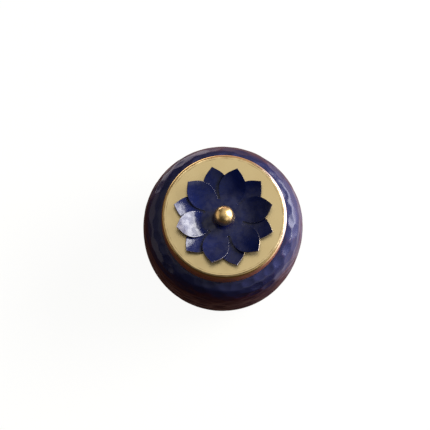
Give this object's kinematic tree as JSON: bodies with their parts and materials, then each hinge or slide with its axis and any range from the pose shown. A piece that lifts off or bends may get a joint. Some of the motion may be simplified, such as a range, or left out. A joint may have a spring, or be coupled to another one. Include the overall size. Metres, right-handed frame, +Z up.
{
  "type": "lidded metal jar",
  "caption": "Squat hammered metal jar in dark blue lacquer with a lift-off brass lid, crowned by a layered lotus flower of sheet-metal petals around a polished ball knob.",
  "frame": {"origin": "centre of the flat underside, on the surface that the jar stands on", "axes": "+Z up along the jar's axis, -Y to the front of the picture, +X to its right"},
  "size_m": [0.1218, 0.1218, 0.1234],
  "materials": {
    "lacquered_copper": "dark blue lacquer over hammered coppery metal, satin gloss",
    "satin_brass": "satin, finely turned",
    "blue_enamel": "glossy dark blue enamel with bare bright edges",
    "polished_brass": "polished, lightly mottled"
  },
  "bodies": {
    "root": {"jar_body": "lacquered_copper", "lid": "satin_brass", "lower_petals": "blue_enamel", "upper_petals": "blue_enamel", "knob": "polished_brass"}
  },
  "joints": []
}
